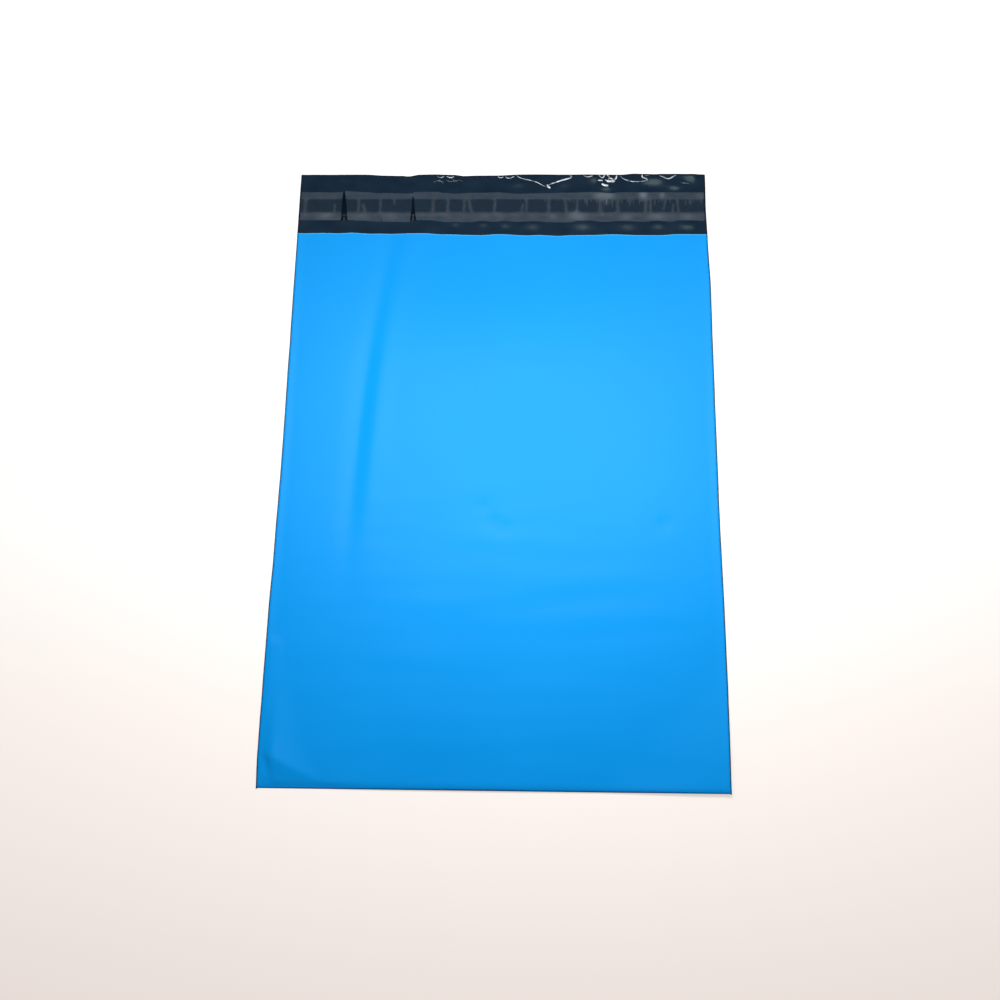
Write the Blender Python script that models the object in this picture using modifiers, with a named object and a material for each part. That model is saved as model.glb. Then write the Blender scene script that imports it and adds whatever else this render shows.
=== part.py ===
"""Poly mailer bag, lying flat and open, with its lip laid back.

The bag is one web of film. A flat sheet is laid along the folded path: down the lip and the back panel,
round the soft bottom fold, and up the front panel to the mouth. Solidify gives it the gauge of the film, and
a weld bead along each side joins the two layers. The adhesive strip and its release liner lie on the lip.

Units are metres. +Z is up, +Y runs from the bottom fold to the lip, and the origin is on the table under the
middle of the bag. A distance called run is measured along +Y from the bottom fold.
"""

import math

import bmesh
import bpy

MM = 0.001

# Film bag
BAG_WIDTH = 254 * MM
POCKET_DEPTH = 333 * MM
LIP_HEIGHT = 42 * MM
FILM_GAUGE = 0.0635 * MM

# How thick the slack pocket lies, measured outside, at its fold, in its middle and at its mouth
FOLD_LOFT = 1.8 * MM
POCKET_LOFT = 2.6 * MM
MOUTH_LOFT = 1.0 * MM
FOLD_SLOPE = 30 * MM
FOLD_ROUND_OFF = 3 * MM
MOUTH_SLOPE = 90 * MM

# Soft valley in the front panel: a trough with a low ridge on its right. Its line starts at the mouth,
# runs down beside the left weld, and fades out.
VALLEY_FROM_SIDE = 47 * MM
VALLEY_DRIFT = 17.6 * MM
VALLEY_BEND = 2.5
VALLEY_LENGTH = 240 * MM
VALLEY_FADE = 110 * MM
VALLEY_SHARE_AT_MOUTH = 0.4
TROUGH_LEFT_OF_LINE = 5 * MM
TROUGH_SPREAD = 5.5 * MM
TROUGH_DEPTH = 0.75 * MM
RIDGE_RIGHT_OF_LINE = 6 * MM
RIDGE_SPREAD = 6.5 * MM
RIDGE_HEIGHT = 0.5 * MM

# Crease that curves across the bottom left corner: the film climbs to it and drops past it to a flat
CREASE_UP_SIDE = 18.5 * MM
CREASE_REACH = 27 * MM
CREASE_SLOPE = 0.21
CREASE_RISE_FROM_WELD = 14 * MM
CREASE_CLIMB = 18 * MM
CREASE_FLAT_SHARE = 0.25
CREASE_ROUNDING = 0.15 * MM

# Bottom right corner, which curls up off the table
CURL_HEIGHT = 2.2 * MM
CURL_LENGTH = 75 * MM

# Puckers along the lip's top edge, where the cutting blade pulled the film
PUCKER_HEIGHT = 0.5 * MM
PUCKER_DEPTH = 9 * MM
PUCKER_PITCH = 36 * MM
PUCKER_FROM_WELD = 16 * MM

# Side welds: the cut edges of both layers, melted into a bead
WELD_RADIUS = 0.35 * MM
WELD_LAYER_GAP = 0.1 * MM
WELD_APPROACH = 5 * MM
WELD_OVERRUN = 0.3 * MM
WELD_ROUNDNESS = 2

# Closure on the lip
LINER_FROM_MOUTH = 9.2 * MM
LINER_WIDTH = 20.6 * MM
LINER_THICKNESS = 0.05 * MM
ADHESIVE_BELOW_LINER_EDGE = 4.8 * MM
ADHESIVE_WIDTH = 10 * MM
ADHESIVE_THICKNESS = 0.1 * MM
SEAT_GAP = 0.3 * MM

# Tears in the liner: from the upper edge each one opens downwards and forks round a tongue
TEARS = (
    {"from_side": 28.2 * MM, "below_top": 0.7 * MM, "neck": 0.9 * MM, "belly": 3.1 * MM, "foot": 4.0 * MM},
    {"from_side": 71.6 * MM, "below_top": 2.5 * MM, "neck": 0.6 * MM, "belly": 2.0 * MM, "foot": 3.8 * MM},
)
TEAR_FOOT_BRIDGE = 0.6 * MM
TONGUE_LENGTH = 3 * MM
TONGUE_WIDTH = 1.4 * MM
TEAR_CUT_DEPTH = 4 * MM

# Facets
WEB_COLUMNS = 44
LIP_ROWS = 5
PANEL_ROWS = 22
CORNER_ROWS = 8
CORNER_TOP = 27 * MM
FOLD_ROWS = 6
STRIP_COLUMNS = 44
CAP_MERGE = 0.01 * MM

# Lengths that follow from the ones above
BAG_LENGTH = POCKET_DEPTH + LIP_HEIGHT
WELD_STACK = 2 * FILM_GAUGE + WELD_LAYER_GAP
WELD_MIDDLE = BAG_WIDTH / 2 - WELD_RADIUS
WELD_LIFT = WELD_RADIUS - WELD_STACK / 2
STRIP_HALF_WIDTH = WELD_MIDDLE - WELD_RADIUS - SEAT_GAP
LINER_LOW_EDGE = POCKET_DEPTH + LINER_FROM_MOUTH
LINER_TOP_EDGE = LINER_LOW_EDGE + LINER_WIDTH
ADHESIVE_TOP_EDGE = LINER_TOP_EDGE - ADHESIVE_BELOW_LINER_EDGE


def ease(t):
    """0 below 0, 1 above 1, and a smooth rise between them."""
    t = min(max(t, 0.0), 1.0)
    return t * t * (3 - 2 * t)


def larger(a, b, rounding):
    """The larger of two heights, with the corner between them rounded off."""
    return (a + b + math.hypot(a - b, rounding)) / 2


def hill(offset, spread):
    """A soft hill over an offset of 0, 1 at its top."""
    return math.exp(-((offset / spread) ** 2))


def spaced(first, last, steps):
    """steps + 1 evenly spaced values, both ends included."""
    return [first + (last - first) * i / steps for i in range(steps + 1)]


def loft(run):
    """Outer height of the pocket down its middle."""
    up = (POCKET_LOFT - FOLD_LOFT) * ease(run / FOLD_SLOPE)
    down = (POCKET_LOFT - MOUTH_LOFT) * ease((run - POCKET_DEPTH + MOUTH_SLOPE) / MOUTH_SLOPE)
    return FOLD_LOFT + up - down


def valley(x, run):
    """Depth of the soft valley, whose line drifts towards the weld as it runs down from the mouth."""
    below_mouth = POCKET_DEPTH - run
    left = max(1 - below_mouth / VALLEY_LENGTH, 0)
    from_line = x + BAG_WIDTH / 2 - VALLEY_FROM_SIDE - VALLEY_DRIFT * left**VALLEY_BEND
    trough = TROUGH_DEPTH * hill(from_line + TROUGH_LEFT_OF_LINE, TROUGH_SPREAD)
    ridge = RIDGE_HEIGHT * hill(from_line - RIDGE_RIGHT_OF_LINE, RIDGE_SPREAD)
    start = VALLEY_SHARE_AT_MOUTH + (1 - VALLEY_SHARE_AT_MOUTH) * ease(below_mouth / VALLEY_FADE)
    end = ease((VALLEY_LENGTH - below_mouth) / VALLEY_FADE)
    return (trough - ridge) * start * end


def creased_corner(x, run, rise, rounding):
    """The pocket's rise over the weld, changed where the crease crosses the bottom left corner."""
    from_weld = x + BAG_WIDTH / 2
    crease_run = CREASE_UP_SIDE * math.exp(-from_weld / CREASE_REACH)
    past = crease_run - run
    climb = math.exp(min(past, 0) / CREASE_CLIMB)
    crest = CREASE_SLOPE * crease_run * ease(from_weld / CREASE_RISE_FROM_WELD) * climb
    drop = CREASE_SLOPE * larger(past, 0, rounding)
    return larger(larger(rise, crest, rounding) - drop, CREASE_FLAT_SHARE * rise, rounding)


def corner_curl(x, run):
    """Height of the whole bag over the table at the corner that curls up, 0 away from it."""
    to_corner = (BAG_WIDTH / 2 - x) + run
    return CURL_HEIGHT * ease(1 - to_corner / CURL_LENGTH)


def pocket_height(x, run):
    """Outer height of the pocket: an arch from weld to weld, with its valley and its creased corner."""
    arch = 1 - (x / WELD_MIDDLE) ** 2
    rise = (loft(run) - WELD_STACK) * arch - valley(x, run)
    return WELD_STACK + creased_corner(x, run, rise, CREASE_ROUNDING * arch)


def back_height(x, run):
    """Underside of the back panel: on the table, and lifted to the middle of the bead beside it."""
    from_weld = (WELD_MIDDLE - abs(x)) / WELD_APPROACH
    return WELD_LIFT * (1 - ease(from_weld)) + corner_curl(x, run)


def lip_height(x, run):
    """Underside of the lip, which puckers up along its top edge."""
    near_edge = 1 - (BAG_LENGTH - run) / PUCKER_DEPTH
    wave = 0.5 - 0.5 * math.cos(2 * math.pi * x / PUCKER_PITCH)
    away_from_weld = ease((WELD_MIDDLE - abs(x)) / PUCKER_FROM_WELD)
    return back_height(x, run) + PUCKER_HEIGHT * ease(near_edge) * wave * away_from_weld


def lip_point(x, run):
    return (x, run, lip_height(x, run))


def back_point(x, run):
    return (x, run, back_height(x, run))


def fold_point(x, angle):
    """The bottom fold is half a circle, from the back panel at -90 degrees to the front panel at 90."""
    radius = pocket_height(x, 0) / 2
    run = radius * (1 - math.cos(angle))
    return (x, run, back_height(x, run) + radius * (1 + math.sin(angle)))


def front_point(x, run):
    return (x, run, back_height(x, run) + pocket_height(x, run))


def panel_runs():
    """Where the rows of either panel lie, from beside the bottom fold to the mouth."""
    return spaced(FOLD_ROUND_OFF, CORNER_TOP, CORNER_ROWS) + spaced(CORNER_TOP, POCKET_DEPTH, PANEL_ROWS)[1:]


def lip_runs():
    """Where the rows of the lip lie, from the mouth to its top edge."""
    return spaced(POCKET_DEPTH, BAG_LENGTH, LIP_ROWS)


def web_rows():
    """The folded path, row by row, each as the function that places it and its place on the path."""
    lip = [(lip_point, run) for run in reversed(lip_runs()[1:])]
    back = [(back_point, run) for run in reversed(panel_runs())]
    fold = [(fold_point, angle) for angle in spaced(-math.pi / 2, math.pi / 2, FOLD_ROWS)]
    front = [(front_point, run) for run in panel_runs()]
    return lip + back + fold + front


def strip_rows(low_edge, top_edge, above_lip):
    """Two rows of a strip that lies on the lip, above_lip over the lip's upper face."""

    def strip_point(x, run):
        return (x, run, lip_height(x, run) + FILM_GAUGE + above_lip)

    return [(strip_point, low_edge), (strip_point, top_edge)]


def material(name, colour, roughness):
    """A Principled material for a piece of film."""
    made = bpy.data.materials.new(name)
    made.use_nodes = True
    shader = made.node_tree.nodes["Principled BSDF"]
    shader.inputs["Base Color"].default_value = (*colour, 1)
    shader.inputs["Roughness"].default_value = roughness
    shader.inputs["Metallic"].default_value = 0
    return made


def add_object(name, bm, collection):
    """Turns a bmesh, built with run along Y, into an object centred on the bag."""
    bmesh.ops.translate(bm, verts=bm.verts, vec=(0, -BAG_LENGTH / 2, 0))
    mesh = bpy.data.meshes.new(name)
    bm.to_mesh(mesh)
    bm.free()
    made = bpy.data.objects.new(name, mesh)
    collection.objects.link(made)
    return made


def laid_sheet(name, rows, columns, half_width, collection):
    """An open sheet: a flat grid whose columns close up towards the sides, laid along the rows."""
    bm = bmesh.new()
    bmesh.ops.create_grid(bm, x_segments=columns, y_segments=len(rows) - 1, size=0.5)
    for vertex in bm.verts:
        x = half_width * math.sin(math.pi * vertex.co.x)
        place, along = rows[round((vertex.co.y + 0.5) * (len(rows) - 1))]
        vertex.co = place(x, along)
    return add_object(name, bm, collection)


def thicken(sheet, thickness, inner_material=0):
    """Gives an open sheet its thickness, away from the side that its faces look to."""
    solidify = sheet.modifiers.new("gauge", "SOLIDIFY")
    solidify.thickness = thickness
    solidify.offset = -1
    solidify.use_even_offset = True
    solidify.use_quality_normals = True
    solidify.material_offset = inner_material
    solidify.material_offset_rim = inner_material


def join_or_cut(target, tool, operation):
    """Unites a helper solid with a piece, or cuts it out of the piece."""
    boolean = target.modifiers.new(tool.name, "BOOLEAN")
    boolean.operation = operation
    boolean.object = tool
    boolean.solver = "EXACT"
    tool.hide_render = True
    tool.display_type = "WIRE"


def solid_of_curve(name, curve, helpers):
    """Makes a curve a mesh, with its loose caps merged on, so that a Boolean can use it."""
    guide = bpy.data.objects.new(name, curve)
    helpers.objects.link(guide)
    graph = bpy.context.evaluated_depsgraph_get()
    loose = bpy.data.meshes.new_from_object(guide.evaluated_get(graph))
    bpy.data.objects.remove(guide)
    bm = bmesh.new()
    bm.from_mesh(loose)
    bmesh.ops.remove_doubles(bm, verts=bm.verts, dist=CAP_MERGE)
    bmesh.ops.recalc_face_normals(bm, faces=bm.faces)
    return add_object(name, bm, helpers)


def weld_bead(name, side, helpers):
    """The bead of one side weld: a tube along the film's edge, from the bottom fold to the lip's top.

    Its points lie halfway between the film's rows, so that no edge of one falls on an edge of the other.
    """
    middle = side * WELD_MIDDLE
    rows = panel_runs() + lip_runs()[1:]
    halfway = [(low + high) / 2 for low, high in zip(rows, rows[1:])]
    runs = [-WELD_OVERRUN] + halfway + [BAG_LENGTH + WELD_OVERRUN]
    curve = bpy.data.curves.new(name, "CURVE")
    curve.dimensions = "3D"
    curve.bevel_depth = WELD_RADIUS
    curve.bevel_resolution = WELD_ROUNDNESS
    curve.use_fill_caps = True
    line = curve.splines.new("POLY")
    line.points.add(len(runs) - 1)
    for point, run in zip(line.points, runs):
        point.co = (middle, run, WELD_RADIUS + corner_curl(middle, run), 1)
    return solid_of_curve(name, curve, helpers)


def build_film_bag(part, helpers):
    """The folded web of film with its two side welds."""
    bag = laid_sheet("film_bag", web_rows(), WEB_COLUMNS, WELD_MIDDLE, part)
    bag.data.materials.append(material("blue_film", (0.012, 0.40, 0.93), 0.35))
    bag.data.materials.append(material("dark_film", (0.012, 0.022, 0.035), 0.25))
    thicken(bag, FILM_GAUGE, inner_material=1)
    for side, name in ((-1, "left_weld_bead"), (1, "right_weld_bead")):
        join_or_cut(bag, weld_bead(name, side, helpers), "UNION")
    return bag


def build_adhesive_strip(part):
    """A band of adhesive across the lip, from weld to weld."""
    low_edge = ADHESIVE_TOP_EDGE - ADHESIVE_WIDTH
    rows = strip_rows(low_edge, ADHESIVE_TOP_EDGE, SEAT_GAP + ADHESIVE_THICKNESS)
    strip = laid_sheet("adhesive_strip", rows, STRIP_COLUMNS, STRIP_HALF_WIDTH, part)
    strip.data.materials.append(material("adhesive", (0.03, 0.045, 0.06), 0.2))
    thicken(strip, ADHESIVE_THICKNESS)
    return strip


def tear_outline(tear):
    """Half of a tear's outline, from its neck down to the tongue's tip, as (across, run)."""
    top = LINER_TOP_EDGE - tear["below_top"]
    foot = LINER_LOW_EDGE + TEAR_FOOT_BRIDGE
    return [
        (tear["neck"] / 2, top),
        (tear["belly"] / 2, (top + foot) / 2),
        (tear["foot"] / 2, foot),
        (TONGUE_WIDTH / 2, foot),
        (0, foot + TONGUE_LENGTH),
    ]


def tear_cutter(name, tear, helpers):
    """A tear as a filled flat outline with depth."""
    right = tear_outline(tear)
    left = [(-across, run) for across, run in reversed(right[:-1])]
    middle = -BAG_WIDTH / 2 + tear["from_side"]
    curve = bpy.data.curves.new(name, "CURVE")
    curve.dimensions = "2D"
    curve.fill_mode = "BOTH"
    curve.extrude = TEAR_CUT_DEPTH / 2
    outline = curve.splines.new("POLY")
    outline.points.add(len(right + left) - 1)
    outline.use_cyclic_u = True
    for point, (across, run) in zip(outline.points, right + left):
        point.co = (middle + across, run, 0, 1)
    return solid_of_curve(name, curve, helpers)


def build_release_liner(part, helpers):
    """The liner over the adhesive, with its two tears."""
    above_lip = SEAT_GAP + ADHESIVE_THICKNESS + SEAT_GAP + LINER_THICKNESS
    rows = strip_rows(LINER_LOW_EDGE, LINER_TOP_EDGE, above_lip)
    liner = laid_sheet("release_liner", rows, STRIP_COLUMNS, STRIP_HALF_WIDTH, part)
    liner.data.materials.append(material("liner_film", (0.07, 0.09, 0.11), 0.4))
    thicken(liner, LINER_THICKNESS)
    for number, tear in enumerate(TEARS, start=1):
        join_or_cut(liner, tear_cutter(f"tear_{number}", tear, helpers), "DIFFERENCE")
    return liner


def new_collection(name):
    made = bpy.data.collections.new(name)
    bpy.context.scene.collection.children.link(made)
    return made


def main():
    for old in list(bpy.data.objects):
        bpy.data.objects.remove(old, do_unlink=True)
    part = new_collection("poly_mailer_bag")
    helpers = new_collection("cutters")
    build_film_bag(part, helpers)
    build_adhesive_strip(part)
    build_release_liner(part, helpers)


main()
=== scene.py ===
# %% [markdown]
# # A poly mailer bag, lying flat with its lip laid back
#
# The bag is a single web of plastic film, light blue outside and nearly black inside. It is folded once at
# the bottom, welded down both sides, and its back panel runs on past the mouth as a lip. A band of adhesive
# crosses the lip under a clear peel-off liner, which has torn in two places.
#
# The imported CAD model is loaded first. It is the fixed frame that every finer piece below is fitted to.
# The CAD model's parts are kept in the scene.

# %% Load the CAD model
import math

import bmesh
import bpy
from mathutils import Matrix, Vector, noise
from mathutils.geometry import intersect_point_line


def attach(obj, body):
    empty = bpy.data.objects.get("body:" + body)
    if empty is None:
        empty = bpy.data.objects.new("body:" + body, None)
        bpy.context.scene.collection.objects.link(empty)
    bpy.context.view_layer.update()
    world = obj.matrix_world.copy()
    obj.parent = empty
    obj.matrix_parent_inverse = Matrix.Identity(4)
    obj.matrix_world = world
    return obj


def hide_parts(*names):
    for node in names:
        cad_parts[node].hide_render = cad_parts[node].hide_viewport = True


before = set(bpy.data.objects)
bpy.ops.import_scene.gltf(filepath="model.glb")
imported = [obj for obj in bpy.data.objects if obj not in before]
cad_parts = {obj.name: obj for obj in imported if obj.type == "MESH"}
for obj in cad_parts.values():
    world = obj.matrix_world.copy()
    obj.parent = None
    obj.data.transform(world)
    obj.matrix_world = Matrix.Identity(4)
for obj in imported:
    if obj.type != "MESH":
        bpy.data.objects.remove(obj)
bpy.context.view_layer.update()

# %% [markdown]
# ## Camera
#
# The bag is seen from above, with the camera tipped a little towards the lip. A camera could be
# placed by eye, but a flat sheet shows every error as a skewed outline. So the lens and the place were
# solved from the bag's own corners, and a straight 254 by 375 mm outline lands where it should.

# %% Camera
camera_data = bpy.data.cameras.new("camera")
camera_data.sensor_width = 36
camera_data.lens = 39.6248
camera = bpy.data.objects.new("camera", camera_data)
camera.location = (0.017199, -0.208980, 0.606118)
camera.rotation_euler = [math.radians(angle) for angle in (16.7828, 1.2334, 0.7803)]
bpy.context.scene.collection.objects.link(camera)
bpy.context.scene.camera = camera
print("camera", round(camera.location.z * 1000), "mm over the table, lens", camera_data.lens)

# %% [markdown]
# ## Light
#
# Film shows every slope by how it catches the light. A wide softbox stands beyond the lip, high enough for
# its mirror image to fall on the middle of the bag. The image is as wide as the bag, and the film's gloss is
# weak, so it is a faint, even sheen. The lip lies beyond that image and stays dark. Only its swells that
# lean towards the camera catch the softbox, as soft grey patches.
# A second lamp, low over the bag and a little wider than it, gives the soft fall of brightness from the
# middle to the corners, and makes no reflections of its own. One big lamp would do both jobs at once, but
# with two the sheen and the fall of brightness can be set apart. The world fills in what is left, and only
# the camera sees it as a pale wall.

# %% Lamps and world
def area_lamp(name, place, aim, width, depth, watts):
    """A rectangular lamp that faces a point."""
    data = bpy.data.lights.new(name, "AREA")
    data.shape = "RECTANGLE"
    data.size = width
    data.size_y = depth
    data.energy = watts
    lamp = bpy.data.objects.new(name, data)
    lamp.location = place
    lamp.rotation_euler = (Vector(aim) - Vector(place)).to_track_quat("-Z", "Y").to_euler()
    lamp.visible_camera = False
    bpy.context.scene.collection.objects.link(lamp)
    return lamp


softbox = area_lamp(
    "softbox", place=(0.015, 0.35, 0.90), aim=(0.015, 0.02, 0), width=0.74, depth=0.34, watts=5.05
)
overhead = area_lamp(
    "overhead", place=(0.0225, 0.009, 0.238), aim=(0.0225, 0.009, 0), width=0.30, depth=0.06, watts=0.485
)
overhead.visible_glossy = False

world = bpy.data.worlds.new("studio")
world.use_nodes = True
bpy.context.scene.world = world
tree = world.node_tree
background = tree.nodes["Background"]
background.inputs["Color"].default_value = (1, 1, 1, 1)
seen = tree.nodes.new("ShaderNodeLightPath")
strength = tree.nodes.new("ShaderNodeMapRange")
strength.inputs["To Min"].default_value = 0.12
strength.inputs["To Max"].default_value = 0.9
tree.links.new(seen.outputs["Is Camera Ray"], strength.inputs["Value"])
tree.links.new(strength.outputs[0], background.inputs["Strength"])
bpy.context.scene.view_settings.view_transform = "Standard"
print("lamps:", softbox.name, overhead.name)

# %% [markdown]
# ## Floor
#
# A plain pale table top. A brighter lamp could make it white, but would wash out the bag too. So a diffuse
# part takes the bag's shadow, and the white comes partly from a glow that only camera, mirror and
# see-through rays meet, which throws no light on the bag. Towards the near edge the glow is weaker and
# warmer.

# %% Floor
def new_material(name):
    """An empty node material and its output node."""
    made = bpy.data.materials.new(name)
    made.use_nodes = True
    made.node_tree.nodes.clear()
    return made, made.node_tree, made.node_tree.nodes.new("ShaderNodeOutputMaterial")


def ramp_node(tree, stops):
    """A colour ramp with the given (position, colour) stops."""
    node = tree.nodes.new("ShaderNodeValToRGB")
    ramp = node.color_ramp
    while len(ramp.elements) < len(stops):
        ramp.elements.new(0.5)
    for element, (position, colour) in zip(ramp.elements, stops):
        element.position = position
        element.color = (*colour, 1)
    return node


floor_material, tree, output = new_material("floor_pale")
nodes = tree.nodes
coordinates = nodes.new("ShaderNodeTexCoord")
split = nodes.new("ShaderNodeSeparateXYZ")
tree.links.new(coordinates.outputs["Object"], split.inputs[0])
span = nodes.new("ShaderNodeMapRange")
span.inputs["From Min"].default_value = -0.3
span.inputs["From Max"].default_value = 0.1
tree.links.new(split.outputs["Y"], span.inputs["Value"])
glow_colour = ramp_node(tree, [
    (0.0, (0.59, 0.51, 0.47)), (0.2, (0.635, 0.57, 0.54)), (0.4, (0.685, 0.62, 0.58)),
    (0.65, (0.73, 0.72, 0.70)), (1.0, (0.76, 0.75, 0.74)),
])
tree.links.new(span.outputs[0], glow_colour.inputs[0])
ray = nodes.new("ShaderNodeLightPath")
either = nodes.new("ShaderNodeMath")
either.operation = "MAXIMUM"
tree.links.new(ray.outputs["Is Camera Ray"], either.inputs[0])
tree.links.new(ray.outputs["Is Glossy Ray"], either.inputs[1])
any_of_three = nodes.new("ShaderNodeMath")
any_of_three.operation = "MAXIMUM"
tree.links.new(either.outputs[0], any_of_three.inputs[0])
tree.links.new(ray.outputs["Is Transmission Ray"], any_of_three.inputs[1])
glow = nodes.new("ShaderNodeEmission")
tree.links.new(glow_colour.outputs["Color"], glow.inputs["Color"])
tree.links.new(any_of_three.outputs[0], glow.inputs["Strength"])
matt = nodes.new("ShaderNodeBsdfDiffuse")
matt.inputs["Color"].default_value = (0.45, 0.44, 0.435, 1)
both = nodes.new("ShaderNodeAddShader")
tree.links.new(matt.outputs[0], both.inputs[0])
tree.links.new(glow.outputs[0], both.inputs[1])
tree.links.new(both.outputs[0], output.inputs["Surface"])

bm = bmesh.new()
bmesh.ops.create_grid(bm, x_segments=1, y_segments=1, size=4)
floor_mesh = bpy.data.meshes.new("floor")
bm.to_mesh(floor_mesh)
bm.free()
floor = bpy.data.objects.new("floor", floor_mesh)
floor.data.materials.append(floor_material)
bpy.context.scene.collection.objects.link(floor)
print("floor", [round(side, 2) for side in floor.dimensions])

# %% [markdown]
# ## The bag's measures
#
# Everything is worked out in millimetres and scaled to metres at the end. A distance called run is measured
# up the bag from its bottom fold, and x across it from its middle line. The sizes are those of the CAD
# model, so that each finer piece falls where the solid that it replaces lies.

# %% Measures in millimetres
BAG_WIDTH, POCKET_DEPTH, LIP_HEIGHT, FILM_GAUGE = 254, 333, 42, 0.0635
FOLD_LOFT, POCKET_LOFT, MOUTH_LOFT = 1.8, 2.6, 1.0
FOLD_SLOPE, FOLD_ROUND_OFF, MOUTH_SLOPE = 30, 3, 90
WELD_RADIUS, WELD_LAYER_GAP, WELD_APPROACH = 0.35, 0.1, 5

BAG_LENGTH = POCKET_DEPTH + LIP_HEIGHT
WELD_STACK = 2 * FILM_GAUGE + WELD_LAYER_GAP
WELD_MIDDLE = BAG_WIDTH / 2 - WELD_RADIUS
WELD_LIFT = WELD_RADIUS - WELD_STACK / 2
print("bag", BAG_WIDTH, "by", BAG_LENGTH, "mm, of film", FILM_GAUGE, "mm thick")


# %% [markdown]
# ## How high the film lies
#
# A slack pocket has a height of its own: a soft round fold at the bottom, most loft in the middle, hardly
# any at the mouth, and none at the side welds. On top of that come the marks of handling: a valley
# beside the left weld, a pressed-in bottom left corner, a curled-up bottom right corner and a few dimples.
# Each mark is a small function, so that it can be read, moved and made deeper on its own.

# %% Height helpers
def ease(t):
    """0 below 0, 1 above 1, and a smooth rise between them."""
    t = min(max(t, 0.0), 1.0)
    return t * t * (3 - 2 * t)


def bump_at(x, run, middle_x, middle_run, half_x, half_run):
    """A soft round hill, 1 in its middle."""
    return math.exp(-(((x - middle_x) / half_x) ** 2) - ((run - middle_run) / half_run) ** 2)


def along(points, x):
    """The height at x of a smooth line through (x, height) points."""
    if x <= points[0][0]:
        return points[0][1]
    for (x0, y0), (x1, y1) in zip(points, points[1:]):
        if x <= x1:
            return y0 + (y1 - y0) * ease((x - x0) / (x1 - x0))
    return points[-1][1]


def wander(*place):
    """A smooth noise between about -1 and 1, read at a place of three numbers."""
    return noise.noise(Vector(place))


print("ease at a quarter:", ease(0.25))


# %% Height of the pocket
CORNER_RIGHT, CORNER_HIGH, PRESSED_SHARE = -20, 80, 0.25
CREASE = dict(run=19.1, reach=27, slope=0.175, climb=10, fade=24)
LUMP_HEIGHT, LUMP_WIDTH = 0.55, 14
VALLEY = dict(from_side=47, drift=17.6, bend=2.5, length=240, fade=110, at_mouth=0.4)
TROUGH = dict(depth=0.85, beside=-5, half=5.5)
RIDGE = dict(height=0.6, beside=6, half=6.5)
DIMPLES = [(-8, 156), (-3, 148), (4, 143), (95.7, 147.7), (-28, 212)]
DIMPLE_DEPTH, DIMPLE_HALF_X, DIMPLE_HALF_RUN = 0.38, 4.5, 4
GROOVE = dict(depth=0.45, x=-3.6, half=3.2, low=200, high=250, fade=20)
CURL_HEIGHT, CURL_REACH = 2.2, 75
PATCH_HEIGHT, WAVE_HEIGHT, WAVES_FADE_FROM = 0.16, 0.22, 200


def loft(run):
    """How far apart the two panels stand along the middle of the bag."""
    up = (POCKET_LOFT - FOLD_LOFT) * ease(run / FOLD_SLOPE)
    down = (POCKET_LOFT - MOUTH_LOFT) * ease((run - POCKET_DEPTH + MOUTH_SLOPE) / MOUTH_SLOPE)
    return FOLD_LOFT + up - down


def valley(x, run):
    """A trough beside the left weld, with a low ridge on its right, from the mouth downwards."""
    below_mouth = POCKET_DEPTH - run
    share_left = max(1 - below_mouth / VALLEY["length"], 0)
    middle = VALLEY["from_side"] + VALLEY["drift"] * share_left ** VALLEY["bend"]
    beside = x + BAG_WIDTH / 2 - middle
    trough = TROUGH["depth"] * math.exp(-(((beside - TROUGH["beside"]) / TROUGH["half"]) ** 2))
    ridge = RIDGE["height"] * math.exp(-(((beside - RIDGE["beside"]) / RIDGE["half"]) ** 2))
    start = VALLEY["at_mouth"] + (1 - VALLEY["at_mouth"]) * ease(below_mouth / VALLEY["fade"])
    end = ease((VALLEY["length"] - below_mouth) / VALLEY["fade"])
    return (trough - ridge) * start * end


def larger(a, b, rounding):
    """The larger of two heights, with the corner between them rounded off."""
    return (a + b + math.sqrt((a - b) ** 2 + rounding**2)) / 2


def creased_corner(x, run, rise):
    """A crease curves across the bottom left corner: the film climbs to it, drops past it, and ends flat."""
    from_weld = x + BAG_WIDTH / 2
    line = CREASE["run"] * math.exp(-((max(from_weld, 0) / CREASE["reach"]) ** 1.5))
    past = line - run
    near_ridge = ease(from_weld / CREASE["climb"]) * math.exp(min(past, 0) / CREASE["fade"])
    ridge = CREASE["slope"] * line * near_ridge
    beside_weld = ease(from_weld / 4) * ease((LUMP_WIDTH - from_weld) / 8)
    pressed_flat = PRESSED_SHARE * rise + LUMP_HEIGHT * ease((run - 2.5) / 4.5) * beside_weld
    slope_past = CREASE["slope"] * larger(past, 0, 0.4)
    return larger(larger(rise, ridge, 0.15) - slope_past, pressed_flat, 0.05)


def corner_curl(x, run):
    """The bottom right corner lifts off the table, with both of its panels."""
    return CURL_HEIGHT * ease(1 - ((BAG_WIDTH / 2 - x) + run) / CURL_REACH)


def dimples(x, run):
    """Small round dents, and one short groove that runs up the bag."""
    dents = sum(bump_at(x, run, dx, dy, DIMPLE_HALF_X, DIMPLE_HALF_RUN) for dx, dy in DIMPLES)
    ends = ease((run - GROOVE["low"]) / GROOVE["fade"]) * ease((GROOVE["high"] - run) / GROOVE["fade"])
    groove = GROOVE["depth"] * math.exp(-(((x - GROOVE["x"]) / GROOVE["half"]) ** 2)) * ends
    return DIMPLE_DEPTH * dents + groove


def ripples(x, run):
    """The faint unevenness of blown film: hand-sized patches, and level waves in the lower half."""
    patches = PATCH_HEIGHT * wander(x / 48, run / 70, 0.3)
    level_waves = WAVE_HEIGHT * wander(x / 65, run / 11, 4) * ease((WAVES_FADE_FROM - run) / 60)
    return patches + level_waves


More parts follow.
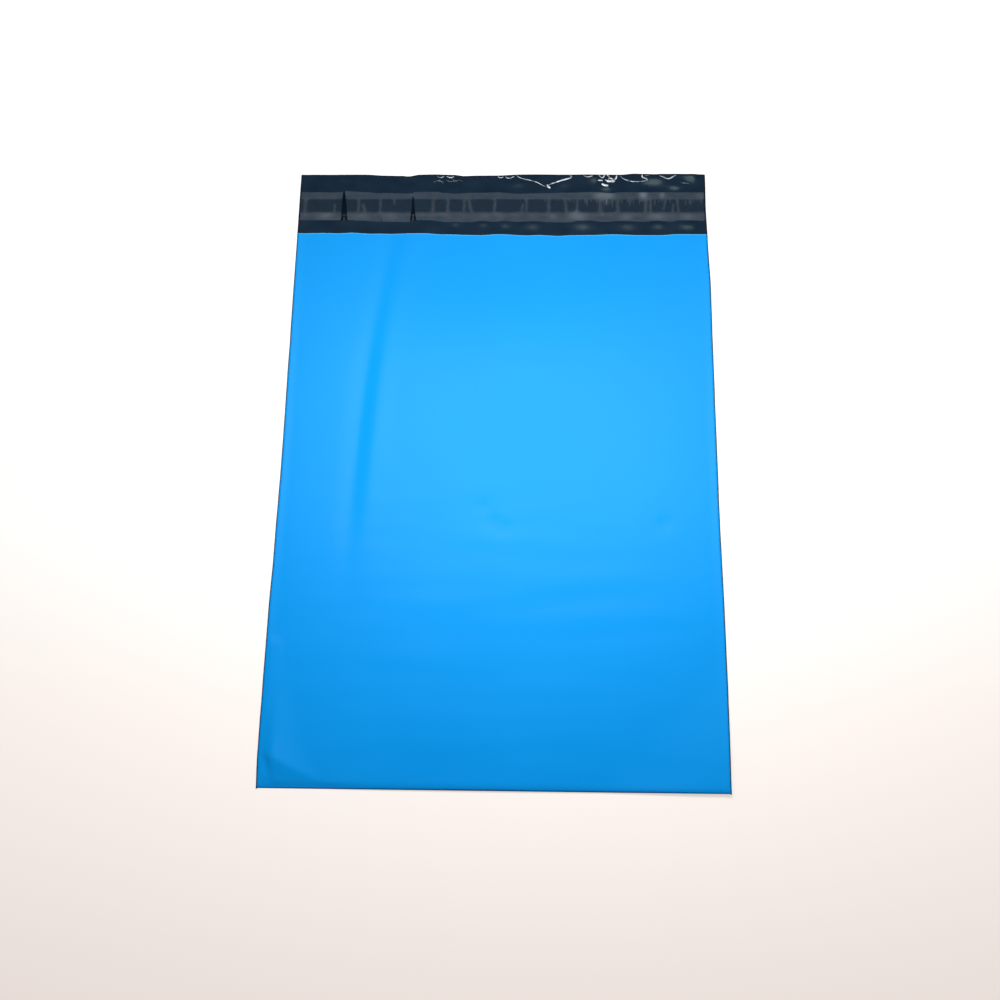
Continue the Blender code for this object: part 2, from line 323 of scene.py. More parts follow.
def pocket_height(x, run):
    """How far the front panel's outer face lies over the back panel's: it arches between the welds."""
    arch = max(1 - (x / WELD_MIDDLE) ** 2, 0)
    rise = (loft(run) - WELD_STACK + ripples(x, run)) * arch - valley(x, run) - dimples(x, run)
    if x < CORNER_RIGHT and run < CORNER_HIGH:
        rise = creased_corner(x, run, rise)
    return WELD_STACK + rise


def back_height(x, run):
    """The back panel lies on the table, and rises a little into the middle of each weld."""
    return WELD_LIFT * (1 - ease((WELD_MIDDLE - abs(x)) / WELD_APPROACH)) + corner_curl(x, run)


print("pocket in its middle:", round(pocket_height(0, 170), 2), "mm high")

# %% [markdown]
# ## Swells of the lip
#
# The lip is one layer of film and lies almost flat. Low swells catch the softbox as grey patches: a row of
# them below the liner, where the film bends towards the mouth, and some above it, mostly on the right. A
# texture could paint the patches, but they would stay put in other views. A slope moves as a real one does.
# The top edge wanders, as the blade that cuts it drags the film.

# %% Height of the lip
# Each swell is its middle, its half width and half depth, and its height.
SWELLS = [
    (-28.5, 342, 3, 2.8, 0.24), (-11, 341.6, 3.6, 2.8, 0.24), (2.5, 341.2, 3.8, 2.8, 0.25),
    (19.6, 341.4, 6, 4.2, 0.34), (50.5, 341.9, 8, 4.9, 0.42), (78, 341.4, 7, 4.2, 0.34),
    (97, 341.4, 5, 3.7, 0.31), (115, 341.2, 7, 3.9, 0.35),
    (-102, 373, 7, 2.5, 0.2), (-84, 370, 6, 3, 0.16), (-58, 366.5, 7, 2.5, 0.14), (-30, 370.5, 5, 2.5, 0.14),
    (10.2, 370, 5, 3.5, 0.33), (38.4, 370.5, 5, 4, 0.41), (58.3, 374.6, 3.6, 4, 0.43),
    (65.4, 367.6, 4.4, 3, 0.47), (96, 374, 9, 5.6, 0.6), (108, 368.2, 5, 3, 0.44),
    (120, 377.4, 15, 5.6, 0.8),
]
# The top edge: x, and how far up the bag the edge lies there.
LIP_EDGE = [
    (-127, 375.6), (-107, 375.7), (-84.5, 375.6), (-75, 375.1), (-63, 374.8), (-59, 374.3), (-51.6, 375.6),
    (-42, 375.9), (-30.6, 375.6), (-24, 374.6), (-14, 374.9), (-3.8, 375.1), (10.7, 375.7), (30.5, 375.8),
    (43.5, 375.7), (52, 375.7), (58.3, 375.4), (65, 375.7), (74.7, 375.7), (82.4, 376.3), (89, 375.9),
    (95.2, 375.5), (101, 375.9), (108, 376), (117, 375.7), (127, 375.7),
]
PUCKER_HEIGHT, PUCKER_LENGTH, PUCKER_REACH = 0.3, 36, 9
SWELL_APPROACH = 9


def swells(x, run):
    """What all the swells together add to the height."""
    return sum(height * bump_at(x, run, *swell) for *swell, height in SWELLS)


def lip_height(x, run):
    """Underside of the lip. Its top edge stands up between the scallops."""
    near_edge = ease(1 - (BAG_LENGTH - run) / PUCKER_REACH)
    wave = 0.5 - 0.5 * math.cos(2 * math.pi * x / PUCKER_LENGTH)
    from_weld = ease((WELD_MIDDLE - abs(x)) / SWELL_APPROACH)
    return back_height(x, run) + from_weld * (PUCKER_HEIGHT * near_edge * wave + swells(x, run))


print(len(SWELLS), "swells on the lip, up to", max(swell[-1] for swell in SWELLS), "mm high")

# %% [markdown]
# ## The film web
#
# The real bag starts as a flat sheet that is folded over. So does this one: a flat grid is laid row by row
# down the lip and the back panel, round the bottom fold and up the front panel to the mouth. It is made this
# way, and not as two plates, so that the fold is the same film all the way round. The fold itself is a half
# ellipse, as deep as FOLD_REACH and as high as the pocket is there. The rows stand closest at the fold, at
# the creased corner and at the mouth, and the columns close up towards the welds, where the film bends
# most. The lip gets finer cells for its swells. Both cut edges, the lip's and the mouth's, wander by about
# a millimetre, and that wander dies out over the rows next to them.

# %% Lay the film
COLUMNS = 120
FOLD_REACH = 1.7
CORNER_TOP, NEAR_MOUTH, AT_MOUTH, NEAR_LIP_EDGE = 27, 316, 331.4, 362.4
LIP_EDGE_BLEND, MOUTH_EDGE_BLEND = 11, 15
MOUTH_EDGE = [
    (-127, 333.7), (-109, 333.9), (-101.6, 333.6), (-94, 334), (-80.6, 333.3), (-63, 333.3), (-47, 333.5),
    (-37, 332.8), (-13, 332.2), (-1.3, 332.9), (16.3, 332), (23.4, 332.3), (35.7, 331.7), (42.4, 332.2),
    (55, 332.4), (69, 333), (83.4, 332.5), (97.5, 332.5), (109.3, 333.4), (127, 333.4),
]


def spaced(first, last, steps):
    """Evenly spaced values from the first to the last."""
    return [first + (last - first) * i / steps for i in range(steps + 1)]


def lip_point(x, run):
    run += (along(LIP_EDGE, x) - BAG_LENGTH) * ease((run - BAG_LENGTH) / LIP_EDGE_BLEND + 1)
    return x, run, lip_height(x, run)


def back_point(x, run):
    return x, run, back_height(x, run)


def fold_point(x, angle):
    radius = pocket_height(x, 0) / 2
    return x, FOLD_REACH * (1 - math.cos(angle)), back_height(x, 0) + radius * (1 + math.sin(angle))


def front_point(x, run):
    run += (along(MOUTH_EDGE, x) - POCKET_DEPTH) * ease((run - POCKET_DEPTH) / MOUTH_EDGE_BLEND + 1)
    return x, run, back_height(x, run) + pocket_height(x, run)


def film_rows():
    """The folded path, row by row: the function that places a row, and its place along the path."""
    lip_runs = spaced(BAG_LENGTH, NEAR_LIP_EDGE, 5) + spaced(NEAR_LIP_EDGE, POCKET_DEPTH, 14)[1:]
    back_runs = spaced(POCKET_DEPTH, CORNER_TOP, 46)[1:] + spaced(CORNER_TOP, FOLD_ROUND_OFF, 8)[1:]
    front_runs = spaced(FOLD_ROUND_OFF, CORNER_TOP, 20) + spaced(CORNER_TOP, NEAR_MOUTH, 102)[1:]
    front_runs += spaced(NEAR_MOUTH, AT_MOUTH, 7)[1:] + spaced(AT_MOUTH, POCKET_DEPTH, 5)[1:]
    rows = [(lip_point, run) for run in lip_runs]
    rows += [(back_point, run) for run in back_runs]
    rows += [(fold_point, angle) for angle in spaced(-math.pi / 2, math.pi / 2, 12)]
    rows += [(front_point, run) for run in front_runs]
    return rows


def fold_shade_and_rim_highlight(place, value):
    """1 paints shade into the bottom fold, where the bent film turns from the light, and -1 a highlight on
    the mouth's cut edge.
    """
    if place not in (fold_point, front_point):
        return 0
    run = FOLD_REACH * (1 - math.cos(value)) if place is fold_point else value
    at_fold = max(math.exp(-((run / 0.75) ** 2)), 0.3 * math.exp(-((run / 2.6) ** 2)))
    at_mouth = ease((run - POCKET_DEPTH + 0.7) / 0.4)
    return at_fold - at_mouth


def across(t, half_width):
    """Spreads -0.5 to 0.5 over the width, closer together at the sides."""
    return half_width * (t + 0.5 * math.sin(math.pi * t))


# Each point keeps a value of painted light: shade at the bottom fold, and a highlight at the mouth's cut
# edge.
film = bmesh.new()
painted_light_layer = film.verts.layers.float.new("fold_shade_and_rim_highlight")
rows = film_rows()
bmesh.ops.create_grid(film, x_segments=COLUMNS, y_segments=len(rows) - 1, size=0.5)
for vertex in film.verts:
    place, value = rows[round((vertex.co.y + 0.5) * (len(rows) - 1))]
    vertex.co = place(across(vertex.co.x, WELD_MIDDLE), value)
    vertex[painted_light_layer] = fold_shade_and_rim_highlight(place, value)

lip_edges = [edge for edge in film.edges if all(v.co.y > POCKET_DEPTH + 0.1 for v in edge.verts)]
bmesh.ops.subdivide_edges(film, edges=lip_edges, cuts=1, use_grid_fill=True)
# The new points lie half way between the old ones, so the lip's height is read again for all of them.
for vertex in film.verts:
    if vertex.co.y > POCKET_DEPTH + 1:
        vertex.co.z = lip_height(vertex.co.x, vertex.co.y)
print("film:", len(film.verts), "vertices,", len(film.faces), "faces")


# %% [markdown]
# ## From millimetres to a finished piece
#
# No real bag is a perfect rectangle: its sides wander by up to a millimetre, and the bottom fold lies nearly
# one further out than the plan says. The film could be bent with a lattice, but each piece would need one.
# Instead every piece goes through the same last step, so they all follow that sway. Then it is moved so that
# the origin lies under the middle of the bag, scaled to metres, shaded smooth, and left as an object at the
# origin with its place in its mesh.

# %% Finish a piece
LEFT_SWAY = [
    (0, 0), (18, -0.6), (48, -0.55), (100, -0.4), (125, 0.15), (190, 0.6), (245, 0.35), (305, 0.1),
    (375, -0.2),
]
RIGHT_SWAY = [
    (0, -0.6), (30, -0.1), (55, 0.35), (95, 0.45), (150, 0.1), (200, 0.35), (260, 0.7), (295, 1.1),
    (330, 0.5), (350, 0.2), (375, 0.6),
]
FOLD_SHIFT, FOLD_SHIFT_REACH = 0.9, 60


def sway(x, run):
    """How far to the right both sides have wandered at this run."""
    left = along(LEFT_SWAY, run) * ease(-x / WELD_MIDDLE)
    return left + along(RIGHT_SWAY, run) * ease(x / WELD_MIDDLE)


def finished(name, bm, materials):
    """Sways a bmesh of millimetres, and makes it an object in metres."""
    for vertex in bm.verts:
        x, run, _ = vertex.co
        vertex.co.x = x + sway(x, run)
        vertex.co.y = run - FOLD_SHIFT * ease(1 - run / FOLD_SHIFT_REACH)
    bmesh.ops.translate(bm, verts=bm.verts, vec=(0, -BAG_LENGTH / 2, 0))
    bmesh.ops.scale(bm, verts=bm.verts, vec=(0.001, 0.001, 0.001))
    for face in bm.faces:
        face.smooth = True
    mesh = bpy.data.meshes.new(name)
    bm.to_mesh(mesh)
    bm.free()
    for material in materials:
        mesh.materials.append(material)
    made = bpy.data.objects.new(name, mesh)
    bpy.context.scene.collection.objects.link(made)
    print(name, len(mesh.polygons), "faces,", [round(side * 1000, 1) for side in made.dimensions], "mm")
    return made


def thicken(piece, millimetres, inner=0):
    """Real film has a thickness: the new side lies behind the faces, in a material of its own."""
    solidify = piece.modifiers.new("gauge", "SOLIDIFY")
    solidify.thickness = millimetres / 1000
    solidify.offset = -1
    solidify.use_even_offset = True
    solidify.material_offset = inner
    solidify.material_offset_rim = inner


# %% [markdown]
# ## Blue film, dark inside
#
# The outer layer is a satin blue. It is nearly all plain colour, with a weak sheen, and the finest marks are
# the lengthwise lines that the die leaves. They are a low bump, too fine to be worth any geometry. A slow
# noise varies the colour by a few hundredths, as blown film varies in thickness. A value kept on the mesh
# paints shade into the bottom fold, where the bent film turns away from the light, and paints a highlight
# along the cut edge at the mouth. It could be worked out from the place in the shader, but on the mesh it
# follows the fold wherever that wanders.
#
# The inner layer is nearly black with a sharper gloss. Solidify gives it to the faces behind.

# %% Blue and dark film materials
def principled(name, roughness, specular):
    """A gloss of its own for each film. The base colour comes from the helpers below."""
    made, tree, output = new_material(name)
    shader = tree.nodes.new("ShaderNodeBsdfPrincipled")
    shader.inputs["Roughness"].default_value = roughness
    shader.inputs["Specular IOR Level"].default_value = specular
    tree.links.new(shader.outputs[0], output.inputs["Surface"])
    return made, tree, shader


def object_noise(tree, scale, stretch, detail=2):
    """Noise on Object coordinates, stretched by a Mapping node."""
    coordinates = tree.nodes.new("ShaderNodeTexCoord")
    mapping = tree.nodes.new("ShaderNodeMapping")
    mapping.inputs["Scale"].default_value = stretch
    texture = tree.nodes.new("ShaderNodeTexNoise")
    texture.inputs["Scale"].default_value = scale
    texture.inputs["Detail"].default_value = detail
    tree.links.new(coordinates.outputs["Object"], mapping.inputs[0])
    tree.links.new(mapping.outputs[0], texture.inputs["Vector"])
    return texture


def mottled(tree, shader, texture, first, second):
    """Lets the base colour wander between two colours."""
    ramp = ramp_node(tree, [(0.3, first), (0.7, second)])
    tree.links.new(texture.outputs["Fac"], ramp.inputs[0])
    tree.links.new(ramp.outputs["Color"], shader.inputs["Base Color"])


def mesh_value(tree, name):
    """A value that was kept on the points of the mesh."""
    attribute = tree.nodes.new("ShaderNodeAttribute")
    attribute.attribute_name = name
    return attribute.outputs["Fac"]


def mixed_in(tree, shader, share, colour):
    """Mixes a second colour into the base colour, by a share from 0 to 1."""
    mix = tree.nodes.new("ShaderNodeMix")
    mix.data_type = "RGBA"
    # The node keeps sockets for every type of data. For colour they are 0, 6 and 7, and 2 comes out.
    factor, first, second = mix.inputs[0], mix.inputs[6], mix.inputs[7]
    base = shader.inputs["Base Color"]
    if base.is_linked:
        tree.links.new(base.links[0].from_socket, first)
    else:
        first.default_value = base.default_value
    second.default_value = (*colour, 1)
    tree.links.new(share, factor)
    tree.links.new(mix.outputs[2], base)


def bumped(tree, shader, texture, height):
    """A fine relief, whose height is in metres."""
    bump = tree.nodes.new("ShaderNodeBump")
    bump.inputs["Distance"].default_value = height
    bump.inputs["Strength"].default_value = 1
    tree.links.new(texture.outputs["Fac"], bump.inputs["Height"])
    tree.links.new(bump.outputs[0], shader.inputs["Normal"])


blue, tree, shader = principled("blue_film", roughness=0.31, specular=0.10)
mottled(tree, shader, object_noise(tree, 9, (1, 0.6, 1)), (0.0024, 0.352, 0.97), (0.003, 0.372, 0.99))
bumped(tree, shader, object_noise(tree, 900, (1, 0.02, 1), 3), 0.000004)
# Painted shade darkens the bottom fold to deep blue, and a painted highlight pales the mouth's cut edge.
painted_light_share = mesh_value(tree, "fold_shade_and_rim_highlight")
rim_highlight_share = tree.nodes.new("ShaderNodeMath")
rim_highlight_share.operation = "MULTIPLY"
rim_highlight_share.inputs[1].default_value = -1
tree.links.new(painted_light_share, rim_highlight_share.inputs[0])
mixed_in(tree, shader, painted_light_share, (0.001, 0.07, 0.26))
mixed_in(tree, shader, rim_highlight_share.outputs[0], (0.10, 0.50, 0.92))

dark, tree, shader = principled("dark_film", roughness=0.15, specular=0.18)
shader.inputs["Specular Tint"].default_value = (0.75, 1, 0.95, 1)
blotches = object_noise(tree, 70, (1, 1.6, 1), 4)
mottled(tree, shader, blotches, (0.0065, 0.018, 0.037), (0.0105, 0.026, 0.051))
bumped(tree, shader, object_noise(tree, 700, (1, 0.5, 1), 3), 0.000006)

film_web = finished("film_web", film, [blue, dark])
thicken(film_web, FILM_GAUGE, inner=1)

# %% [markdown]
# ## Creases at the lip's top edge
#
# Where the blade dragged the film, it left small scallops whose rims are sharp creases. A crease is far
# finer than the cells of the web, so each one is a strip of its own that is swept along a bent line of
# (x, run) points. The line's corners are cut off three times, which makes it a smooth curve.
# The creases' white is painted highlight, which stands in for the glints along their rims, and their own
# gloss adds real glints. The higher a crease stands, the more painted highlight it gets, and a noise breaks
# it up along the line.

# %% Where the creases run
# Each crease is its line of points, its height and its width.
CREASES = [
    ([(-43.2, 370.2), (-40.6, 371.6), (-38.2, 370.6), (-36.4, 371.4)], 0.06, 0.28),
    ([(-39.8, 372.4), (-38.4, 370.8), (-36.8, 369.6)], 0.06, 0.25),
    ([(-35.4, 372), (-33, 370.4), (-30.4, 371.2), (-28.2, 370.2)], 0.06, 0.28),
    ([(-31.2, 372.6), (-29.6, 371.2), (-26.8, 371.8), (-24.4, 370.8)], 0.06, 0.25),
    ([(-41, 374.8), (-38.9, 373.2), (-36.5, 374.6)], 0.15, 0.5),
    ([(-35, 374.6), (-32.2, 373.2), (-30, 374.4)], 0.15, 0.55),
    ([(-2.8, 374.4), (-0.8, 373.2), (1.1, 374.2)], 0.15, 0.5),
    ([(2.1, 374.2), (4.5, 372.6), (7.8, 374.4)], 0.15, 0.5),
    ([(8.8, 375.4), (11.2, 373.1), (16.5, 371.8), (21.4, 370.6), (26.7, 367.3), (29.6, 366.2)],
     0.15, 0.45),
    ([(29.9, 365.6), (30, 366.4), (28.9, 367.4), (28.4, 368.6)], 0.2, 1.2),
    ([(29.2, 368.2), (31.5, 369.3), (34.8, 370.4), (37.7, 371.5), (40.3, 372.2), (42.5, 373),
      (43.9, 373.9), (42.8, 375.2)], 0.2, 1),
    ([(51, 374.9), (53.5, 373.7), (57, 374.4)], 0.15, 0.6),
    ([(60.6, 375.2), (62.4, 373.2), (63.4, 373.4), (64.6, 375.8)], 0.17, 0.75),
    ([(65.6, 375.8), (67.6, 373.9), (66.7, 372.2)], 0.18, 0.8),
    ([(60, 371.4), (63.2, 371.4)], 0.18, 0.8),
    ([(64.4, 372.2), (66.6, 370.4), (68.8, 371), (70.4, 371.9), (71.8, 373.4), (71.9, 375.4)], 0.2, 1.1),
    ([(65.6, 371.6), (67.2, 370.6), (69.2, 371.2)], 0.25, 1.3),
    ([(62.4, 369), (64.3, 367.7), (66.6, 367.6)], 0.25, 1.4),
    ([(66.8, 374), (68.2, 372.8), (69.8, 372.6)], 0.18, 0.9),
    ([(68.6, 369.6), (69.8, 370.6), (71, 371.4)], 0.15, 0.6),
    ([(73.8, 375), (75.8, 372.7), (77.6, 371.9), (79.7, 371.2), (81.9, 370.6), (85.5, 370.6), (88.7, 370.7),
      (91.2, 371.5)], 0.15, 0.5),
    ([(88.3, 375.8), (87.3, 374.1), (88.8, 372.9), (90.2, 372.6), (91.2, 371.2)], 0.18, 0.75),
    ([(89.6, 374.8), (91.8, 374.6)], 0.12, 0.4),
    ([(98.4, 374.6), (101, 373.5), (103.2, 372.4), (105, 372.7), (106.8, 373.9), (109, 375.2)], 0.18, 0.75),
    ([(111.2, 369.9), (114.2, 369.5), (117, 369)], 0.1, 0.35),
]
print(len(CREASES), "creases")

# %% Sweep the creases
# The creases' white is painted highlight. These numbers set how much of it a crease gets by its height.
SHARP_HEIGHT, GLINT_FROM = 0.15, 0.16
LEAST_GLINT, USUAL_GLINT, GLINT_PER_MM = 0.2, 0.62, 5
STRIP_CLEARANCE = 0.01


def smooth_path(points):
    """Cuts the corners off a line of points, three times over."""
    for _ in range(3):
        cut = [points[0]]
        for start, end in zip(points, points[1:]):
            cut += [start.lerp(end, 0.25), start.lerp(end, 0.75)]
        points = cut + [points[-1]]
    return points


def crease_strip(points, height, width, glint_layer, bm):
    """Adds a strip with an arched section, which tapers to nothing at both ends."""
    path = smooth_path([Vector(point) for point in points])
    steps = len(path) - 1
    sharp = min(height / SHARP_HEIGHT, 1) ** 1.5
    usual = USUAL_GLINT + max(height - GLINT_FROM, 0) * GLINT_PER_MM
    made = bmesh.ops.create_grid(bm, x_segments=steps, y_segments=4, size=0.5)
    for vertex in made["verts"]:
        i = round((vertex.co.x + 0.5) * steps)
        side = vertex.co.y * 2
        ahead = path[min(i + 1, steps)] - path[max(i - 1, 0)]
        taper = math.sin(math.pi * (i + 0.35) / (steps + 0.7)) ** 0.5
        glint_along = max(usual + 1.3 * wander(path[i].x / 2.3, path[i].y / 2.3, 2), LEAST_GLINT)
        x, run = path[i] + ahead.orthogonal().normalized() * side * width * taper / 2
        raised = height * taper * (1 - side**2) + STRIP_CLEARANCE
        vertex.co = (x, run, lip_height(x, run) + FILM_GAUGE + raised)
        vertex[glint_layer] = min(sharp * glint_along * taper, 1)


bm = bmesh.new()
glint_layer = bm.verts.layers.float.new("painted_glint")
for points, height, width in CREASES:
    crease_strip(points, height, width, glint_layer, bm)

# Near white is mixed in as painted highlight where a crease stands high.
creased, tree, shader = principled("creased_film", roughness=0.25, specular=0.8)
shader.inputs["Base Color"].default_value = (0.02, 0.035, 0.055, 1)
mixed_in(tree, shader, mesh_value(tree, "painted_glint"), (0.85, 0.88, 0.92))
creases = finished("lip_creases", bm, [creased])

# %% [markdown]
# ## Side welds
#
# A hot blade cuts and seals both layers at once, and the melted film draws back into a thin bead. It could be
# a curve with a round bevel. Here it is a grid rolled round the bead's line, with its seam merged, because
# then each ring can have a radius of its own, which gives the small nibs along the bag's sides. The bead is
# dark blue along the pocket. Along the lip it is nearly black, as the film's dark side faces up there.

# %% Weld beads
BEAD_SIDES, BEAD_STEPS, BEAD_OVERHANG = 8, 300, 0.3
bead_material, tree, shader = principled("weld_bead", roughness=0.35, specular=0.5)
mottled(tree, shader, object_noise(tree, 500, (1, 1, 1)), (0.002, 0.025, 0.06), (0.003, 0.06, 0.13))
bumped(tree, shader, object_noise(tree, 1500, (1, 1, 1)), 0.00003)
mixed_in(tree, shader, mesh_value(tree, "on_lip"), (0.001, 0.002, 0.004))


def weld_bead(name, side):
    """The bead of one side, -1 for the left and 1 for the right."""
    bm = bmesh.new()
    on_lip = bm.verts.layers.float.new("on_lip")
    bmesh.ops.create_grid(bm, x_segments=BEAD_SIDES, y_segments=BEAD_STEPS, size=0.5)
    for vertex in bm.verts:
        turn = vertex.co.x * 2 * math.pi * side
        run = (vertex.co.y + 0.5) * (BAG_LENGTH + 2 * BEAD_OVERHANG) - BEAD_OVERHANG
        nib = 0.12 * max(wander(side * 5, run / 2.1, 0) - 0.15, 0)
        radius = WELD_RADIUS * (0.92 + 0.1 * wander(side * 9, run / 1.1, 2)) + nib
        middle = side * (WELD_MIDDLE + 0.12 * wander(side, run / 14, 7))
        height = WELD_RADIUS + corner_curl(middle, max(run, 0))
        vertex.co = (middle + radius * math.sin(turn), run, height + radius * math.cos(turn))
        vertex[on_lip] = ease(run - POCKET_DEPTH)
    bmesh.ops.remove_doubles(bm, verts=bm.verts, dist=0.001)
    bmesh.ops.holes_fill(bm, edges=bm.edges, sides=BEAD_SIDES)
    bmesh.ops.recalc_face_normals(bm, faces=bm.faces)
    return finished(name, bm, [bead_material])


beads = [weld_bead("left_weld_bead", -1), weld_bead("right_weld_bead", 1)]

# %% [markdown]
# ## Adhesive
#
# The adhesive is a nearly black, glossy band across the lip. Through the liner it only shows where the
# liner has wetted onto it. In the tears it lies bare and looks black. A long thin box would do on a flat
# lip. Here it is a grid that is laid on the lip's own height, so that it follows the swells. An inset adds a
# narrow row of faces along its edges, which keeps the smooth shading of the rim off the top.

# %% Adhesive band
ADHESIVE_LOW, ADHESIVE_TOP = 348, 358
ADHESIVE_THICKNESS, ADHESIVE_CLEARANCE, EDGE_ROW = 0.1, 0.02, 0.03
BESIDE_WELD = 0.3
STRIP_HALF = WELD_MIDDLE - WELD_RADIUS - BESIDE_WELD

glue, tree, shader = principled("adhesive", roughness=0.12, specular=0.22)
mottled(tree, shader, object_noise(tree, 220, (1, 0.5, 1)), (0.0005, 0.004, 0.011), (0.0015, 0.008, 0.017))
bumped(tree, shader, object_noise(tree, 500, (1, 1, 1)), 0.00001)

bm = bmesh.new()
bmesh.ops.create_grid(bm, x_segments=220, y_segments=8, size=0.5)
for vertex in bm.verts:
    x = across(vertex.co.x, STRIP_HALF)
    run = ADHESIVE_LOW + (vertex.co.y + 0.5) * (ADHESIVE_TOP - ADHESIVE_LOW)
    raised = FILM_GAUGE + ADHESIVE_CLEARANCE + ADHESIVE_THICKNESS
    vertex.co = (x, run, lip_height(x, run) + raised)
bmesh.ops.inset_region(bm, faces=bm.faces, thickness=EDGE_ROW, use_boundary=True, use_even_offset=True)
adhesive = finished("adhesive_band", bm, [glue])
thicken(adhesive, ADHESIVE_THICKNESS)

# %% [markdown]
# ## Liner
#
# The liner is a clear film with a slight haze. Where it has wetted onto the adhesive nothing scatters and
# the dark adhesive shows. Where air lies under it, along its two free edges and in the narrow channels
# between, it looks grey. A picture could be painted on it, but a number for each point needs no picture and
# bends with the piece. So one number, the haze, carries its look. The liner also stands a little higher
# where it is hazier.
#
# The wetted windows have soft, round corners, because the channels between them widen at both ends. On the
# right half, fine teeth and broader drips of air hang down from the upper edge of the adhesive.

# %% Channels and clouds
# Each channel of air is its lower end, its upper end and its half width.
CHANNELS = [
    ((-123.1, 347), (-123.1, 359), 1.0), ((-104.6, 347), (-104.6, 353.6), 0.6),
    ((-89.6, 350), (-89.6, 359), 0.7), ((-86.8, 353.8), (-84.7, 347), 0.8),
    ((-75.8, 347), (-75.8, 359), 0.65), ((-67.2, 354.8), (-67.2, 359), 0.5),
    ((-42.7, 347), (-42.7, 359), 0.9), ((-33.6, 347), (-33.6, 359), 0.75),
    ((-23.4, 347), (-23.4, 359), 0.75), ((-18.4, 347), (-20.8, 359), 0.85),
    ((-4.4, 347), (-4.4, 359), 0.7), ((12.4, 347), (13.2, 354), 0.65),
    ((15.7, 350), (15.5, 359), 0.65), ((29.6, 347), (29.6, 359), 0.8),
    ((40.8, 347), (39.6, 359), 0.8), ((46.6, 347), (47.6, 359), 0.7),
    ((61.4, 347), (61.4, 359), 0.8), ((72.4, 347), (72.4, 359), 0.9),
    ((89.4, 347), (89.8, 359), 0.8), ((92.9, 347), (92.9, 359), 0.65),
    ((100.6, 351), (102.4, 359), 0.6), ((106.6, 347), (106.6, 354), 0.6), ((110, 350), (109, 359), 0.6),
]
# Each cloud is a brighter patch: its middle, its half width and depth, and how much haze it adds.
CLOUDS = [
    (61.5, 360.8, 4, 2.6, 3.2), (67, 360.6, 3.2, 2.6, 3.4), (88.3, 361, 2.2, 2.6, 5.4),
    (100, 361, 1.6, 2.4, 2.8), (124, 359.5, 3, 3.2, 1), (-110, 346, 5, 2.6, 1.5),
    (-88, 345.5, 5, 2.4, 0.8), (-69, 346, 3.6, 2.6, 0.9), (-37, 347.6, 4, 1, 0.7),
    (-12, 345.5, 4, 2, 0.5), (0, 345.5, 3, 2, 0.6), (19, 345.5, 4, 1.6, 0.4), (32, 345.5, 2.5, 2, 0.8),
    (47.5, 345.6, 5, 2.4, 2.7), (45.5, 348.6, 2.6, 1.6, 1.6), (78, 345.5, 4, 2.2, 1.6),
    (97, 345.6, 5, 2.2, 2.1), (115.5, 345.6, 4.5, 2.2, 1.7), (65.5, 355.8, 2.2, 1.8, 2.4),
    (63, 351, 1, 5, 0.6), (91, 354, 2, 4, 0.5), (-112, 358.5, 6, 3, 0.3),
]
print(len(CHANNELS), "channels and", len(CLOUDS), "clouds")

# %% Haze of the liner
WETTED_LEFT_END, CHANNEL_REACH, CHANNEL_SOFTNESS = -126.3, 4, 1.15


def from_line(x, run, start, end):
    """How far (x, run) is from the straight line between two points."""
    here, start, end = Vector((x, run, 0)), Vector((*start, 0)), Vector((*end, 0))
    share = intersect_point_line(here, start, end)[1]
    return (here - start.lerp(end, min(max(share, 0), 1))).length


def wetted_edges(x):
    """The lower and upper edge of the wetted band at x. Teeth and drips of air eat into the upper one."""
    teeth = 4.5 * max(wander(x / 1.2, 3, 0), 0) * (ease((x - 2) / 12) + ease((x - 45) / 15))
    drips = 7 * max(wander(x / 3.4, 6, 0), 0) * ease((x - 32) / 12)
    low = ADHESIVE_LOW + 0.4 + 0.35 * wander(x / 6, 11, 0)
    top = ADHESIVE_TOP + 0.6 + 0.25 * wander(x / 5, 8, 0) - teeth - drips
    return low, top


def channels_at(x, run, flare):
    """How open each channel near this point is, from 0 to 1. A flare over 1 widens them."""
    warped = x + 0.5 * wander(x / 9, run / 2.2, 20)
    open_here = min(1.2 + 0.6 * wander(x / 5, run / 3, 30), 1)
    for start, end, half in CHANNELS:
        if min(start[0], end[0]) - CHANNEL_REACH < x < max(start[0], end[0]) + CHANNEL_REACH:
            from_middle = from_line(warped, run, start, end) / (CHANNEL_SOFTNESS * half * flare)
            yield open_here * math.exp(-(from_middle**2))


def haze(x, run):
    """0 where the liner is wetted onto the adhesive, 1 over air, and more where light gathers in it."""
    low, top = wetted_edges(x)
    wetted = ease((top - run) / 0.9) * ease((run - low) / 0.8) * ease((x - WETTED_LEFT_END) / 0.8)
    flare = 1 + 0.9 * (1 - ease(min(top - run, run - low) / 1.8))
    openings = list(channels_at(x, run, flare))
    wetted *= math.prod(1 - opening for opening in openings)
    cloudy = sum(amount * bump_at(x, run, *cloud) for *cloud, amount in CLOUDS)
    patchy = 0.55 * wander(x / 6, run / 2.6, 5) + 0.3 * wander(x / 1.7, run / 1.1, 9)
    return max((1 - wetted) * (1 + patchy + cloudy) + 0.45 * cloudy + 0.16 * sum(openings), 0)


print("haze over the adhesive:", round(haze(-60, 353), 2), "and over air:", round(haze(-60, 345), 2))

# %% [markdown]
# ## Tears in the liner
#
# Each of the two tears runs down from the liner's upper edge and forks round a small tongue at the lower
# edge. Between them is a short nick. The right half of a tear is a list of (across, run) points, down its
# long side and up its tongue. A boolean could cut the tears, but it needs a solid cutter and breaks up the
# grid round it. So the flat liner is cut along every side of the outline with a bisecting plane, and the
# faces inside are deleted.

